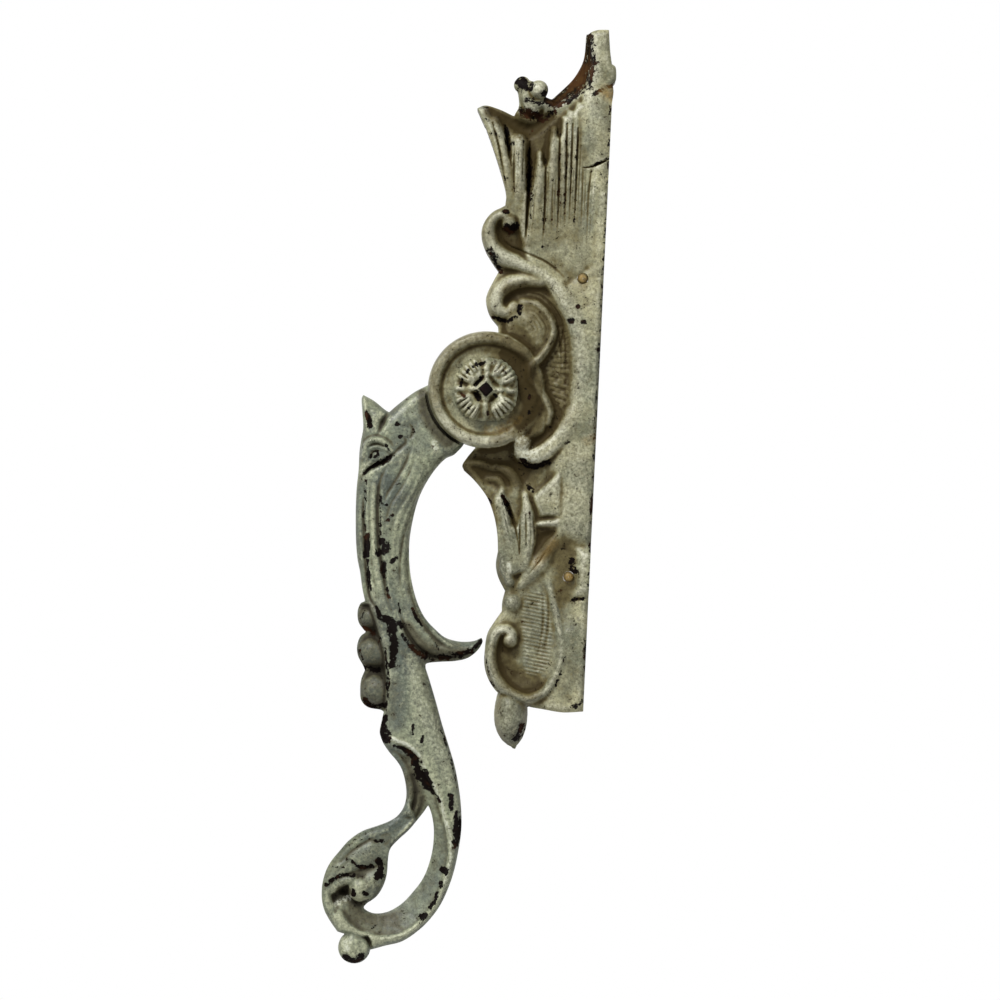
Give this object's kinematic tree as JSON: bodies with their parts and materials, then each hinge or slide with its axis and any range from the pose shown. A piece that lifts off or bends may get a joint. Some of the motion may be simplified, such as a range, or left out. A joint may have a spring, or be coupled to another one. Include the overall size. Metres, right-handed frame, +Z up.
{
  "type": "cremone bolt lever handle",
  "caption": "Ornamental cast casement bolt case with a pierced scrolled lever that turns a pinion and draws an upper and a lower rod rack towards each other.",
  "frame": {"origin": "the lever's axis on the door face, at the flush rear end of the spindle", "axes": "+Z up the door along the rods, +X across the door towards the straight edge of the case, +Y into the door"},
  "size_m": [0.0683, 0.0184, 0.2519],
  "materials": {
    "painted_iron": "old cream-grey paint, chipped to dark rusty iron",
    "sheet_iron": "dark, lightly rusted",
    "steel": "worn and dull",
    "brass": "dull"
  },
  "bodies": {
    "case_body": {"case": "painted_iron", "back_plate": "sheet_iron", "back_plate_screws": "steel", "idler_pin": "steel"},
    "lever_body": {"lever": "painted_iron", "spindle": "steel", "thrust_washer": "brass", "pinion": "steel", "rosette": "painted_iron"},
    "upper_rack_body": {"upper_rack": "sheet_iron"},
    "lower_rack_body": {"lower_rack": "sheet_iron"},
    "idler_body": {"idler_pinion": "steel"}
  },
  "joints": [
    {"name": "lever_turn", "type": "hinge", "parent": "case_body", "child": "lever_body", "pos_m": [0, 0, 0], "axis": [0, 1, 0], "range_deg": [0, 90]},
    {"name": "upper_slide", "type": "slide", "parent": "case_body", "child": "upper_rack_body", "axis": [0, 0, 1], "range_m": [-0.01257, 0]},
    {"name": "lower_slide", "type": "slide", "parent": "case_body", "child": "lower_rack_body", "axis": [0, 0, 1], "range_m": [0, 0.01257]},
    {"name": "idler_spin", "type": "hinge", "parent": "case_body", "child": "idler_body", "pos_m": [0.0186, 0, -0.006], "axis": [0, 1, 0], "range_deg": [-144.1, 0]}
  ],
  "couplings": [
    {"joint": "upper_slide", "follows": "lever_turn", "m_per_rad": -0.008},
    {"joint": "lower_slide", "follows": "lever_turn", "m_per_rad": 0.008},
    {"joint": "idler_spin", "follows": "lever_turn", "ratio": -1.6}
  ]
}
